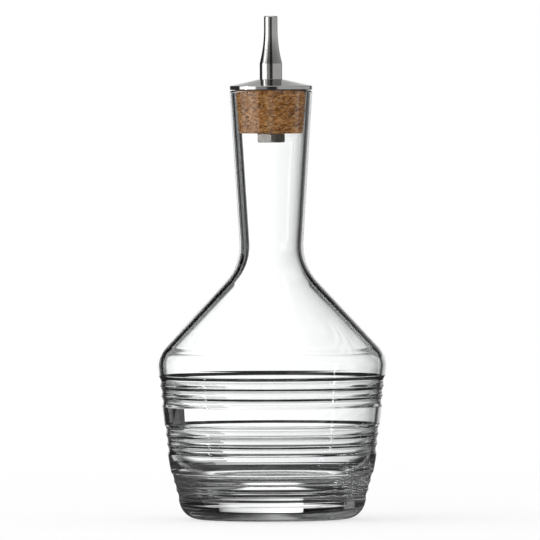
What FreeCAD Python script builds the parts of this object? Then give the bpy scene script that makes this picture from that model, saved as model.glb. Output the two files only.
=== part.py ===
"""Bitters bottle: a ring-cut glass bottle and the cork dash stopper that pulls out of its neck.

Millimetres, +Z up, origin at the middle of the base. Each sub-part is a body turned about +Z.
"""
import FreeCAD, Part
import math
import os

import Sketcher

doc = FreeCAD.newDocument("bitters_bottle")
sheet = doc.addObject("Spreadsheet::Sheet", "sizes")

# Name, value or formula, and what it measures.
SIZES = [
    # Heights of the glass, stacked from the base up.
    ("rings_in_group", "3", "ring cuts side by side in each of the three groups"),
    ("heel_land", "5.84", "base to the lowest ring cut"),
    ("lower_rings_pitch", "2.62", "height of one ring of the lower group"),
    ("belly_rise", "1.9", "lower group to the corner where the side starts to draw in"),
    ("lower_band", "5.62", "plain band over the lower group"),
    ("middle_rings_pitch", "2.86", "height of one ring of the middle group"),
    ("upper_band", "5.41", "plain band over the middle group"),
    ("upper_rings_pitch", "2.93", "height of one ring of the upper group"),
    ("shoulder_land", "5.86", "upper group to the corner of side and shoulder"),
    ("shoulder_drop", "26.74", "height of the cone shoulder, corner to corner"),
    ("neck_length", "51.4", "corner of shoulder and neck to the lip"),
    # Radii and tapers of the glass, and the roundings of its corners.
    ("shoulder_radius", "34.08", "corner of shoulder and side, outside"),
    ("side_taper", "3.78", "side draws in by this, down to the belly corner"),
    ("draw_taper", "4.3", "and by this from there to the base"),
    ("waist_radius", "8.98", "corner of neck and shoulder, outside"),
    ("neck_flare", "3.22", "neck widens by this up to the lip"),
    ("foot_ring", "9.0", "corner of side and base to the recess in the base"),
    ("recess_slope", "5.0", "width of the recess's sloping border"),
    ("recess_depth", "0.8", "depth of the recess"),
    ("recess_round", "20.0", "rounding inside the recess"),
    ("heel_round", "6.0", "rounding of the heel"),
    ("belly_round", "60.0", "slow curve where the side starts to draw in"),
    ("shoulder_round", "8.0", "rounding of the shoulder"),
    ("waist_round", "15.5", "sweep from the neck into the shoulder"),
    # The cavity and the ring cuts.
    ("neck_wall", "1.6", "glass thickness of the neck"),
    ("lip_fullness", "0.44", "fire-polished rounding of the lip, as a share of the neck wall"),
    ("shoulder_wall", "1.6", "glass thickness of the shoulder"),
    ("side_wall", "1.6", "glass thickness of the side"),
    ("floor_height", "7.3", "inner floor above the base"),
    ("floor_round", "14.0", "bowl-like inner corner at the floor"),
    ("ring_wheel_radius", "3.0", "edge radius of the wheel that cuts the rings"),
    ("ridge_drop", "0.05", "how far the ridges lie under the plain wall"),
    # The stopper.
    ("cap_gap", "0.15", "cap plate above the glass lip"),
    ("cap_inset", "0.05", "rim of the cap plate inside the neck's outside"),
    ("cap_rim", "1.2", "height of the rim"),
    ("cap_cone", "1.85", "rim to the flat land round the spout"),
    ("cap_land_width", "0.45", "land outside the spout's collar"),
    ("cap_edge_round", "0.25", "rounding of the rim's edges"),
    ("cork_length", "12.75", "length of the cork"),
    ("cork_seat_gap", "0.2", "cork to bore at the mouth"),
    ("cork_foot_gap", "0.45", "cork to bore at its foot"),
    ("cork_edge_round", "0.5", "softened lower edge of the cork"),
    ("nut_across_flats", "8.0", "thin hexagon nut"),
    ("nut_thickness", "2.7", "height of the nut"),
    ("nut_chamfer_angle", "30.0", "slope of the nut's corner chamfers, degrees"),
    ("nut_face_land", "0.2", "flat ring's edge inside the flats"),
    ("shank_radius", "2.5", "hollow shank through cap, cork and nut"),
    ("shank_gap", "0.05", "shank to the holes that it passes through"),
    ("shank_wall", "1.0", "metal round the bore of the shank"),
    ("collar_step", "0.82", "collar stands out from the shank"),
    ("collar_length", "4.7", "straight collar on the cap plate"),
    ("flare_length", "5.6", "collar to the corner of flare and tip"),
    ("flare_round", "40.0", "slow curve from flare to tip"),
    ("tip_length", "8.4", "that corner to the end of the tip"),
    ("tip_radius", "2.0", "outside of the slender tip"),
    ("tip_round", "0.45", "rounded end of the tip"),
    ("dash_bore", "1.0", "radius of the narrow hole that meters a dash"),
    ("dash_length", "6.0", "length of that hole"),
    ("dash_taper", "1.2", "length of the taper into it"),
    # Heights and radii of the corners outside, where two straight walls would meet unrounded.
    ("lower_rings_top", "=heel_land + rings_in_group * lower_rings_pitch", "top of the lower group"),
    ("belly_height", "=lower_rings_top + belly_rise", "corner where the side starts to draw in"),
    ("middle_rings_top", "=lower_rings_top + lower_band + rings_in_group * middle_rings_pitch", "middle group"),
    ("upper_rings_top", "=middle_rings_top + upper_band + rings_in_group * upper_rings_pitch", "upper group"),
    ("shoulder_height", "=upper_rings_top + shoulder_land", "corner of side and shoulder"),
    ("waist_height", "=shoulder_height + shoulder_drop", "corner of shoulder and neck"),
    ("bottle_height", "=waist_height + neck_length", "top of the glass lip"),
    ("belly_radius", "=shoulder_radius - side_taper", "corner where the side starts to draw in"),
    ("heel_radius", "=belly_radius - draw_taper", "corner of side and base"),
    ("recess_radius", "=heel_radius - foot_ring", "edge of the recess in the base"),
    ("recess_floor", "=recess_radius - recess_slope", "flat middle of the recess"),
    ("mouth_radius", "=waist_radius + neck_flare", "outside of the neck at the lip"),
    # Leans of the straight walls from upright, in degrees.
    ("neck_lean", "=atan(neck_flare / neck_length)", "neck"),
    ("shoulder_lean", "=atan((shoulder_radius - waist_radius) / shoulder_drop)", "shoulder"),
    ("side_lean", "=atan(side_taper / (shoulder_height - belly_height))", "side"),
    ("draw_lean", "=atan(draw_taper / belly_height)", "side under the belly corner"),
    # The lip, walls measured level, and the corners of the cavity, where the walls' inner faces would meet.
    ("lip_round", "=lip_fullness * neck_wall", "rounding of the lip, outside and inside"),
    ("neck_wall_level", "=neck_wall / cos(neck_lean)", "neck wall"),
    ("shoulder_wall_level", "=shoulder_wall / cos(shoulder_lean)", "shoulder wall"),
    ("side_wall_level", "=side_wall / cos(side_lean)", "side wall"),
    ("mouth_bore", "=mouth_radius - neck_wall_level", "bore at the lip"),
    ("inner_waist_rise", "=(neck_wall_level - shoulder_wall_level) / (tan(neck_lean) + tan(shoulder_lean))",
     "inner corner above the outer one"),
    ("inner_waist_height", "=waist_height + inner_waist_rise", "inner corner of neck and shoulder"),
    ("inner_waist_radius", "=waist_radius + inner_waist_rise * tan(neck_lean) - neck_wall_level", "its radius"),
    ("inner_waist_round", "=waist_round + neck_wall", "inner sweep, on the centre of the outer one"),
    ("inner_shoulder_rise", "=(side_wall_level - shoulder_wall_level) / (tan(side_lean) + tan(shoulder_lean))",
     "inner corner above the outer one"),
    ("inner_shoulder_height", "=shoulder_height + inner_shoulder_rise", "inner corner of shoulder and side"),
    ("inner_shoulder_radius", "=shoulder_radius + inner_shoulder_rise * tan(side_lean) - side_wall_level",
     "its radius"),
    ("inner_shoulder_round", "=shoulder_round - side_wall", "inner rounding, on the centre of the outer one"),
    ("floor_radius", "=inner_shoulder_radius - (inner_shoulder_height - floor_height) * tan(side_lean)",
     "inner corner of side and floor"),
    # The stopper's stack: cap on the lip, cork under the cap, nut under the cork, spout on the cap.
    ("cap_bottom", "=bottle_height + cap_gap", "underside of the cap plate"),
    ("cap_rim_top", "=cap_bottom + cap_rim", "top of the rim"),
    ("cap_top", "=cap_rim_top + cap_cone", "land that carries the spout's collar"),
    ("cap_radius", "=mouth_radius - cap_inset", "rim of the cap plate"),
    ("cork_bottom", "=cap_bottom - cork_length", "foot of the cork"),
    ("cork_top_radius", "=mouth_bore - cork_seat_gap", "cork at the mouth"),
    ("cork_foot_radius", "=mouth_bore - (bottle_height - cork_bottom) * tan(neck_lean) - cork_foot_gap",
     "cork at its foot"),
    ("nut_bottom", "=cork_bottom - nut_thickness", "foot of the nut and of the shank"),
    ("nut_corner_radius", "=nut_across_flats / (2 * cos(30 deg))", "circle through the nut's corners"),
    ("nut_face_radius", "=nut_across_flats / 2 - nut_face_land", "flat ring on the nut's faces"),
    ("nut_chamfer", "=(nut_corner_radius - nut_face_radius) * tan(nut_chamfer_angle * 1 deg)", "at a corner"),
    ("nut_chamfer_start", "=nut_bottom + nut_chamfer", "end of the lower chamfer on a corner"),
    ("nut_chamfer_end", "=cork_bottom - nut_chamfer", "start of the upper chamfer on a corner"),
    ("shank_hole", "=shank_radius + shank_gap", "hole for the shank in cap, cork and nut"),
    ("spout_bore", "=shank_radius - shank_wall", "radius of the bore"),
    ("collar_radius", "=shank_radius + collar_step", "collar on the cap plate"),
    ("cap_land", "=collar_radius + cap_land_width", "radius of the cap plate's land"),
    ("collar_top", "=cap_top + collar_length", "where the flare starts"),
    ("flare_corner", "=collar_top + flare_length", "corner of flare and tip"),
    ("spout_height", "=flare_corner + tip_length", "end of the tip, the top of the whole"),
    ("dash_start", "=spout_height - dash_length", "lower end of the narrow hole"),
    ("dash_taper_start", "=dash_start - dash_taper", "where the bore starts to narrow"),
]

for row, (alias, value, meaning) in enumerate(SIZES, start=1):
    sheet.set(f"A{row}", meaning)
    sheet.set(f"B{row}", value)
    sheet.setAlias(f"B{row}", alias)
    doc.recompute([sheet])
doc.recompute()

# How a sketch counts its own axes and the points of a curve; its origin is the start of the level axis.
ACROSS_AXIS, UP_AXIS = range(-1, -3, -1)
START, END, CENTRE = range(1, 4)
ORIGIN = ACROSS_AXIS


def size(name):
    """The number in a cell of the sheet; "0" is the axis or the base."""
    value = 0.0 if name == "0" else getattr(sheet, name)
    return float(getattr(value, "Value", value))


def new_body(label):
    body = doc.addObject("PartDesign::Body", label)
    body.Label = label
    return body


def new_sketch(body, name, role="XZ_Plane"):
    """A sketch on one of the body's own origin planes."""
    sketch = body.newObject("Sketcher::SketchObject", name)
    plane = next(p for p in body.Origin.OriginFeatures if p.Role == role)
    sketch.AttachmentSupport = [(plane, "")]
    sketch.MapMode = "FlatFace"
    return sketch


def bind(sketch, constraint, expression):
    sketch.setExpression(f"Constraints[{sketch.addConstraint(constraint)}]", expression)


def place(sketch, geometry, position, radius, height):
    """Ties a point of the sketch to two cells: its radius from the axis and its height."""
    point = sketch.getPoint(geometry, position)
    for name, axis, kind, value in (
        (radius, UP_AXIS, "DistanceX", point.x),
        (height, ACROSS_AXIS, "DistanceY", point.y),
    ):
        if name == "0":
            sketch.addConstraint(Sketcher.Constraint("PointOnObject", geometry, position, axis))
        else:
            constraint = Sketcher.Constraint(kind, ORIGIN, START, geometry, position, value)
            bind(sketch, constraint, f"sizes.{name}")


def corner_round(before, corner, after, radius):
    """The arc tangent to both runs at a corner: its two ends and its curve."""
    back = (before - corner).normalize()
    ahead = (after - corner).normalize()
    half = back.getAngle(ahead) / 2
    run = radius / math.tan(half)
    centre = corner + (back + ahead).normalize() * (radius / math.sin(half))
    enter, leave = corner + back * run, corner + ahead * run
    turns_left = (corner - before).cross(after - corner).z > 0
    first, last = (enter, leave) if turns_left else (leave, enter)
    start = math.atan2(first.y - centre.y, first.x - centre.x)
    stop = math.atan2(last.y - centre.y, last.x - centre.x)
    circle = Part.Circle(centre, FreeCAD.Vector(0, 0, 1), radius)
    return enter, leave, Part.ArcOfCircle(circle, start, stop), turns_left


def draw_outline(sketch, corners):
    """A closed outline of straight runs; a corner that names a rounding gets a tangent arc of that size."""
    points = [FreeCAD.Vector(size(radius), size(height), 0) for radius, height, *_ in corners]
    count = len(corners)
    arrive = list(points)
    depart = list(points)
    arcs = {}
    for i, (_, _, *rounding) in enumerate(corners):
        if rounding:
            arrive[i], depart[i], curve, turns_left = corner_round(
                points[i - 1], points[i], points[(i + 1) % count], size(rounding[0]))
            arcs[i] = (curve, turns_left)
    runs = [sketch.addGeometry(Part.LineSegment(depart[i], arrive[(i + 1) % count])) for i in range(count)]
    for i, (radius, height, *rounding) in enumerate(corners):
        run_in, run_out = runs[i - 1], runs[i]
        if not rounding:
            sketch.addConstraint(Sketcher.Constraint("Coincident", run_in, END, run_out, START))
            place(sketch, run_out, START, radius, height)
            continue
        curve, turns_left = arcs[i]
        arc = sketch.addGeometry(curve)
        first, last = (START, END) if turns_left else (END, START)
        mark = sketch.addGeometry(Part.Point(points[i]), True)
        sketch.addConstraint([
            Sketcher.Constraint("Tangent", run_in, END, arc, first),
            Sketcher.Constraint("Tangent", arc, last, run_out, START),
            Sketcher.Constraint("PointOnObject", mark, START, run_in),
            Sketcher.Constraint("PointOnObject", mark, START, run_out),
        ])
        place(sketch, mark, START, radius, height)
        bind(sketch, Sketcher.Constraint("Radius", arc, curve.Radius), f"sizes.{rounding[0]}")


def turn(body, sketch, kind, name):
    """Turns a sketch a full circle about +Z, to add glass, cork or metal or to cut it away."""
    before = body.Shape.Volume if body.Tip else 0.0
    feature = body.newObject(f"PartDesign::{kind}", name)
    feature.Profile = sketch
    feature.ReferenceAxis = (sketch, ["V_Axis"])
    feature.Angle = 360
    doc.recompute()
    if kind == "Groove" and not feature.Shape.Volume < before:
        raise RuntimeError(f"{name} cuts nothing")
    return feature


def turned_body(label, corners):
    body = new_body(label)
    sketch = new_sketch(body, f"{label}_outline")
    draw_outline(sketch, corners)
    turn(body, sketch, "Revolution", f"{label}_turned")
    return body


def cut_ring(body, group, index, wall_radius, wall_height, lean):
    """One ring cut by the round edge of a wheel, which leaves a ridge against the next ring."""
    pitch = f"sizes.{group}_rings_pitch"
    height = f"(sizes.{group}_rings_top - {index + 0.5} * {pitch})"
    wall = f"(sizes.{wall_radius} - (sizes.{wall_height} - {height}) * tan(sizes.{lean}))"
    half_ring = f"({pitch} / (2 * cos(sizes.{lean})))"
    reach = f"(sqrt(sizes.ring_wheel_radius ^ 2 - {half_ring} ^ 2) - sizes.ridge_drop)"
    sketch = new_sketch(body, f"{group}_ring_{index + 1}_wheel")
    centre = FreeCAD.Vector(size("shoulder_radius"), size(f"{group}_rings_top"), 0)
    wheel = sketch.addGeometry(Part.Circle(centre, FreeCAD.Vector(0, 0, 1), size("ring_wheel_radius")))
    bind(sketch, Sketcher.Constraint("Radius", wheel, size("ring_wheel_radius")), "sizes.ring_wheel_radius")
    bind(sketch, Sketcher.Constraint("DistanceX", ORIGIN, START, wheel, CENTRE, centre.x),
         f"{wall} + {reach} * cos(sizes.{lean})")
    bind(sketch, Sketcher.Constraint("DistanceY", ORIGIN, START, wheel, CENTRE, centre.y),
         f"{height} - {reach} * sin(sizes.{lean})")
    turn(body, sketch, "Groove", f"{group}_ring_{index + 1}")


def build_glass_bottle():
    """The bottle: outside from the base up to the lip, then the cavity down to the thick floor."""
    body = turned_body("glass_bottle", [
        ("0", "recess_depth"),
        ("recess_floor", "recess_depth", "recess_round"),
        ("recess_radius", "0"),
        ("heel_radius", "0", "heel_round"),
        ("belly_radius", "belly_height", "belly_round"),
        ("shoulder_radius", "shoulder_height", "shoulder_round"),
        ("waist_radius", "waist_height", "waist_round"),
        ("mouth_radius", "bottle_height", "lip_round"),
        ("mouth_bore", "bottle_height", "lip_round"),
        ("inner_waist_radius", "inner_waist_height", "inner_waist_round"),
        ("inner_shoulder_radius", "inner_shoulder_height", "inner_shoulder_round"),
        ("floor_radius", "floor_height", "floor_round"),
        ("0", "floor_height"),
    ])
    for group, wall in (
        ("upper", ("shoulder_radius", "shoulder_height", "side_lean")),
        ("middle", ("shoulder_radius", "shoulder_height", "side_lean")),
        ("lower", ("belly_radius", "belly_height", "draw_lean")),
    ):
        for index in range(round(size("rings_in_group"))):
            cut_ring(body, group, index, *wall)
    return body


def build_cork_bung():
    """Tapered cork, a little under the bore all the way down, bored for the shank."""
    return turned_body("cork_bung", [
        ("shank_hole", "cork_bottom"),
        ("cork_foot_radius", "cork_bottom", "cork_edge_round"),
        ("cork_top_radius", "cap_bottom"),
        ("shank_hole", "cap_bottom"),
    ])


def build_cap_plate():
    """Disc with an upright rim and a shallow cone that rises to the spout."""
    return turned_body("cap_plate", [
        ("shank_hole", "cap_bottom"),
        ("cap_radius", "cap_bottom", "cap_edge_round"),
        ("cap_radius", "cap_rim_top", "cap_edge_round"),
        ("cap_land", "cap_top"),
        ("shank_hole", "cap_top"),
    ])


def build_pour_spout():
    """Hollow shank, collar on the cap plate, flare and slender tip with the narrow dash hole."""
    return turned_body("pour_spout", [
        ("spout_bore", "nut_bottom"),
        ("shank_radius", "nut_bottom"),
        ("shank_radius", "cap_top"),
        ("collar_radius", "cap_top"),
        ("collar_radius", "collar_top"),
        ("tip_radius", "flare_corner", "flare_round"),
        ("tip_radius", "spout_height", "tip_round"),
        ("dash_bore", "spout_height"),
        ("dash_bore", "dash_start"),
        ("spout_bore", "dash_taper_start"),
    ])


def draw_hexagon(sketch, corner_radius):
    """A regular hexagon about the origin with one corner towards -Y, the front."""
    sides = 6
    angles = [math.radians(-90 + 360 / sides * i) for i in range(sides)]
    reach = size(corner_radius)
    points = [FreeCAD.Vector(reach * math.cos(a), reach * math.sin(a), 0) for a in angles]
    lines = [sketch.addGeometry(Part.LineSegment(points[i], points[(i + 1) % sides])) for i in range(sides)]
    circle = sketch.addGeometry(Part.Circle(FreeCAD.Vector(), FreeCAD.Vector(0, 0, 1), reach), True)
    sketch.addConstraint(Sketcher.Constraint("Coincident", circle, CENTRE, ORIGIN, START))
    bind(sketch, Sketcher.Constraint("Radius", circle, reach), f"sizes.{corner_radius}")
    for i, line in enumerate(lines):
        sketch.addConstraint(Sketcher.Constraint("Coincident", lines[i - 1], END, line, START))
        sketch.addConstraint(Sketcher.Constraint("PointOnObject", line, START, circle))
        if i:
            sketch.addConstraint(Sketcher.Constraint("Equal", lines[0], line))
    sketch.addConstraint(Sketcher.Constraint("PointOnObject", lines[0], START, UP_AXIS))


def build_hex_nut():
    """Thin hexagon nut with chamfered corners on both faces and a plain hole in place of its thread."""
    body = new_body("hex_nut")
    hexagon = new_sketch(body, "nut_hexagon", "XY_Plane")
    hexagon.setExpression("AttachmentOffset.Base.z", "sizes.nut_bottom")
    draw_hexagon(hexagon, "nut_corner_radius")
    circle = hexagon.addGeometry(Part.Circle(FreeCAD.Vector(), FreeCAD.Vector(0, 0, 1), size("shank_hole")))
    hexagon.addConstraint(Sketcher.Constraint("Coincident", circle, CENTRE, ORIGIN, START))
    bind(hexagon, Sketcher.Constraint("Radius", circle, size("shank_hole")), "sizes.shank_hole")
    pad = body.newObject("PartDesign::Pad", "nut_blank")
    pad.Profile = hexagon
    pad.setExpression("Length", "sizes.nut_thickness")
    doc.recompute()
    for face, face_height, corner_height in (
        ("lower", "nut_bottom", "nut_chamfer_start"),
        ("upper", "cork_bottom", "nut_chamfer_end"),
    ):
        sketch = new_sketch(body, f"nut_{face}_chamfer_outline")
        draw_outline(sketch, [
            ("nut_face_radius", face_height),
            ("nut_corner_radius", face_height),
            ("nut_corner_radius", corner_height),
        ])
        turn(body, sketch, "Groove", f"nut_{face}_chamfer")
    return body


BODIES = [build() for build in (
    build_glass_bottle,
    build_cork_bung,
    build_cap_plate,
    build_pour_spout,
    build_hex_nut,
)]
doc.recompute()

for item in doc.Objects:
    if {"Invalid", "Error"} & set(item.State):
        raise RuntimeError(f"{item.Name} failed: {item.State}")
for body in BODIES:
    if body.Shape.isNull() or not body.Shape.isValid() or len(body.Shape.Solids) != 1:
        raise RuntimeError(f"{body.Label} is not one valid solid")

os.makedirs("parts", exist_ok=True)
for body in BODIES:
    body.Shape.exportStep(f"parts/{body.Label}.step")
    print(body.Label, "volume %.1f mm3" % body.Shape.Volume, body.Shape.BoundBox)
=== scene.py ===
# %% [markdown]
# # A ring-cut bitters bottle with a cork dash stopper
# The bottle is one piece of clear glass. Its stopper is a cork bung, a metal cap plate, a hollow
# spout whose shank runs down through both, and a thin nut that clamps them from below. This lesson
# loads the engineering model as a fixed frame and then makes each visible piece again as a fine,
# smooth surface, because glass and polished metal show every facet.

# %% Load the frame and keep its box
import math

import bpy
import numpy as np
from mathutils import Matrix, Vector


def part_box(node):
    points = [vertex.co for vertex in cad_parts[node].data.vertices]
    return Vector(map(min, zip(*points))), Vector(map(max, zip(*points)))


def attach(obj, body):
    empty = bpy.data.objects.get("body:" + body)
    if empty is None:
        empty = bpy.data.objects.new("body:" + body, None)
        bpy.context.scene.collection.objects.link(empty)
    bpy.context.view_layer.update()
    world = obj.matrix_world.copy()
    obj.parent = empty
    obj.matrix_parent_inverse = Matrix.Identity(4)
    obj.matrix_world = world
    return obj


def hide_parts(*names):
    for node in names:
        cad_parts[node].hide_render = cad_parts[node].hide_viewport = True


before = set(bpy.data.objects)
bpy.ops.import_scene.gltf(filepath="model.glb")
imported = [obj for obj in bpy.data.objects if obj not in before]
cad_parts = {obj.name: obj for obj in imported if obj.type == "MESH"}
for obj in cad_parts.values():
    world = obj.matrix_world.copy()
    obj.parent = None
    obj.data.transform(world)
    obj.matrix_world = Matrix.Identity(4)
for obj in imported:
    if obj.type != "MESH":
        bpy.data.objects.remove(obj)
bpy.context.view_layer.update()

# %% [markdown]
# ## A turned outline
# Nearly everything here is round, so one outline turned about the upright axis gives each piece. A
# Screw modifier could turn a drawn curve. An outline worked out with numpy is used instead, because
# it keeps every rounding a real size and puts points close together only where the light needs
# them. It starts from a short list of corners in millimetres: radius from the axis, height,
# rounding of that corner, and how close together the points of the run after it lie.

# %% Round one corner
MM = 0.001
ARC_STEP = math.radians(4.0)
HOLD = 0.25  # part of an arc step, to a point past each end that keeps the run's shading flat


def unit(vector):
    """The vector divided by its own length."""
    return vector / np.linalg.norm(vector)


def corner_arc(before, corner, after, rounding, spacing):
    """The arc that is tangent to both runs at a corner, with one more point on the run at each end.

    Its centre lies on the corner's bisector, at rounding / sin(half the angle). With first and last
    as the arms from there to the two tangent points, and t from 0 to 1, the arc is
    centre + (sin((1 - t) turn) first + sin(t turn) last) / sin(turn).
    """
    back, ahead = unit(before - corner), unit(after - corner)
    half = 0.5 * math.acos(np.clip(back @ ahead, -1.0, 1.0))
    centre = corner + unit(back + ahead) * rounding / math.sin(half)
    reach = rounding / math.tan(half)
    turn = math.pi - 2.0 * half
    count = max(math.ceil(turn / ARC_STEP), math.ceil(turn * rounding / spacing))
    t = np.linspace(0.0, 1.0, count + 1)[:, None]
    first, last = corner + back * reach - centre, corner + ahead * reach - centre
    arc = centre + (np.sin((1.0 - t) * turn) * first + np.sin(t * turn) * last) / math.sin(turn)
    hold = HOLD * rounding * ARC_STEP
    return np.concatenate([arc[:1] + back * hold, arc, arc[-1:] + ahead * hold])


print("arcs turn", round(math.degrees(ARC_STEP), 1), "degrees a step at most")

# %% [markdown]
# The arcs are joined by straight runs, and each run is divided into equal steps. The Subdivide tool
# would give all runs the same number of them. Here the ring-cut wall gets steps of a sixth of a
# millimetre, and the plain neck gets longer ones.

# %% Join the corners
ROUND_OFF = 1e-6


def divide_runs(chain, steps):
    """Divides each run into equal parts no longer than its own step: start (1 - t) + end t."""
    lengths = np.linalg.norm(np.diff(chain, axis=0), axis=1)
    counts = np.maximum(1, np.ceil(lengths / steps - ROUND_OFF).astype(int))
    start = np.repeat(np.arange(len(counts)), counts)
    place = np.arange(counts.sum()) - np.repeat(np.cumsum(counts) - counts, counts)
    t = (place / counts[start])[:, None]
    return np.concatenate([chain[start] * (1.0 - t) + chain[start + 1] * t, chain[-1:]])


def rounded_outline(corners):
    """Straight runs from corner to corner, with an arc at each corner between the two ends."""
    rows = np.asarray(corners, float)
    points, rounding, spacing = rows[:, :2], rows[:, 2], rows[:, 3]
    inner = range(1, len(rows) - 1)
    arcs = [corner_arc(*points[i - 1:i + 2], rounding[i], spacing[i]) for i in inner]
    steps = [np.full(len(arc), step) for arc, step in zip(arcs, spacing[1:])]
    chain = np.concatenate([points[:1], *arcs, points[-1:]])
    return divide_runs(chain, np.concatenate([spacing[:1], *steps]))


SAMPLE = [(10.0, 0.0, 0.0, 5.0), (10.0, 10.0, 2.0, 5.0), (0.0, 10.0, 0.0, 5.0)]
print("a square corner with a 2 mm rounding takes", len(rounded_outline(SAMPLE)), "points")


# %% [markdown]
# ## Pieces
# A mesh is a list of points and a list of faces that count those points. Each finished piece is
# tied to the body that it moves with, and the engineering piece that it stands for is hidden. Where
# it can, it takes its outer size from that piece's box, so that the two stay together.

# %% New pieces
def in_mm(box):
    """The two corners of a box as arrays in millimetres."""
    return [np.array(corner) / MM for corner in box]


def new_piece(name, verts, faces, body, slot, *nodes):
    """A smooth mesh, points in metres, which rides on a body and stands for CAD nodes."""
    mesh = bpy.data.meshes.new(name)
    mesh.from_pydata(verts.tolist(), [], faces)
    mesh.validate()
    mesh.shade_smooth()
    piece = bpy.data.objects.new(name, mesh)
    bpy.context.scene.collection.objects.link(piece)
    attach(piece, body)
    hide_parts(*nodes)
    print(name, len(mesh.vertices), "points,", len(mesh.polygons), "faces")
    return piece


# %% [markdown]
# ## From outline to mesh
# Turning an outline gives a grid of points, one ring round the axis for each point of the outline,
# and each small square of the grid becomes a face. The Spin tool does the same step by step. Whole
# arrays do it at once, and the number of every point is known.

# %% Turn an outline
def ring_faces(rings, sides, closed):
    """Quads of a grid in which point j of ring i has the number i * sides + j.

    Each ring is closed. With closed, the last ring is joined to the first as well.
    """
    i = np.arange(rings if closed else rings - 1)[:, None]
    j = np.arange(sides)[None, :]
    up, along = (i + 1) % rings, (j + 1) % sides
    here, above = i * sides, up * sides
    quads = np.stack([here + j, here + along, above + along, above + j], axis=-1)
    return quads.reshape(-1, 4).tolist()


def turned(outline, sides):
    """An outline turned about +Z: x = r cos a, y = r sin a.

    Ends on the axis become poles. Any other outline is joined from its last point to its first.
    """
    on_axis = outline[0, 0] == 0 and outline[-1, 0] == 0
    rings = outline[1:-1] if on_axis else outline
    angle = np.linspace(0.0, 2.0 * math.pi, sides, endpoint=False)
    radius, height = rings[:, :1], rings[:, 1:]
    grid = np.stack([radius * np.cos(angle), radius * np.sin(angle), height + 0.0 * angle], axis=-1)
    verts = grid.reshape(-1, 3) * MM
    faces = ring_faces(len(rings), sides, closed=not on_axis)
    if on_axis:
        poles = np.array([[0.0, 0.0, outline[0, 1]], [0.0, 0.0, outline[-1, 1]]]) * MM
        low, high = len(verts), len(verts) + 1
        j = np.arange(sides)
        along = (j + 1) % sides
        last = (len(rings) - 1) * sides
        faces += np.stack([np.full(sides, low), along, j], axis=-1).tolist()
        faces += np.stack([np.full(sides, high), last + j, last + along], axis=-1).tolist()
        verts = np.concatenate([verts, poles])
    return verts, faces


print("3 open rings of 8 points make", len(ring_faces(3, 8, closed=False)), "faces")

# %% [markdown]
# ## The glass
# The bottle is clear glass from a mould, with a body that draws in to the base, a cone shoulder and
# a flared neck. A curve could be drawn over the picture and spun. Corners with their real sizes are
# used instead, because a few numbers then hold the whole shape. This half of the outline runs from
# the middle of the base, out and up to the lip.

# %% Outside of the bottle
_, glass_high = in_mm(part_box("glass_bottle"))
LIP = glass_high[2]
MOUTH_RADIUS = 12.2
WALL = 1.6
WAIST, SHOULDER, BELLY = (8.98, 74.7), (34.08, 47.96), (30.3, 15.6)  # radius, height
HEEL_RADIUS, FOOT_INNER_RADIUS = 26.0, 17.0
RECESS_RADIUS, RECESS_DEPTH = 12.0, 0.8
LIP_FULLNESS = 0.44
LIP_ROUND = LIP_FULLNESS * WALL
WAIST_ROUND, SHOULDER_ROUND, BELLY_ROUND, HEEL_ROUND = 15.5, 8.0, 60.0, 6.0
FOOT_ROUND, RECESS_ROUND = 4.0, 20.0
FINE, COARSE = 0.16, 1.6
OUTSIDE = [  # radius, height, rounding, spacing
    (0.0, RECESS_DEPTH, 0.0, COARSE),
    (RECESS_RADIUS, RECESS_DEPTH, RECESS_ROUND, 0.8),
    (FOOT_INNER_RADIUS, 0.0, FOOT_ROUND, 0.8),
    (HEEL_RADIUS, 0.0, HEEL_ROUND, FINE),
    (*BELLY, BELLY_ROUND, FINE),
    (*SHOULDER, SHOULDER_ROUND, 0.5),
    (*WAIST, WAIST_ROUND, 0.9),
    (MOUTH_RADIUS, LIP, LIP_ROUND, 0.2),
]
print("outside corners", len(OUTSIDE), "lip at", round(LIP, 2), "mm")

# %% [markdown]
# ### The cavity
# The wall is equally thick all over, so the inside follows the outside, down to a thick floor like
# a bowl. A Solidify modifier could make such a wall, but not the thick base. Each inner corner is
# the place where two inner faces would meet.

# %% Inside of the bottle
FLOOR, FLOOR_ROUND = 7.3, 14.0


def lean(high, low):
    """Tangent of a wall's lean: how far the radius grows for each millimetre up."""
    return (high[0] - low[0]) / (high[1] - low[1])


def inner_corner(corner, above, below):
    """Where two inner faces meet: each is its outer line moved in by wall * sqrt(1 + lean^2)."""
    level_above, level_below = WALL * math.hypot(1.0, above), WALL * math.hypot(1.0, below)
    rise = (level_above - level_below) / (above - below)
    return corner[0] + rise * above - level_above, corner[1] + rise


neck_lean = lean((MOUTH_RADIUS, LIP), WAIST)
shoulder_lean = lean(WAIST, SHOULDER)
side_lean = lean(SHOULDER, BELLY)
mouth_bore = MOUTH_RADIUS - WALL * math.hypot(1.0, neck_lean)
inner_waist = inner_corner(WAIST, neck_lean, shoulder_lean)
inner_shoulder = inner_corner(SHOULDER, shoulder_lean, side_lean)
floor_radius = inner_shoulder[0] - (inner_shoulder[1] - FLOOR) * side_lean
INSIDE = [  # radius, height, rounding, spacing
    (mouth_bore, LIP, LIP_ROUND, 1.5),
    (*inner_waist, WAIST_ROUND + WALL, 0.9),
    (*inner_shoulder, SHOULDER_ROUND - WALL, 0.6),
    (floor_radius, FLOOR, FLOOR_ROUND, 0.7),
    (0.0, FLOOR, 0.0, COARSE),
]
outline = rounded_outline(OUTSIDE + INSIDE)
print("outline points", len(outline), "bore at the lip", round(2 * mouth_bore, 2), "mm")

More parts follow.
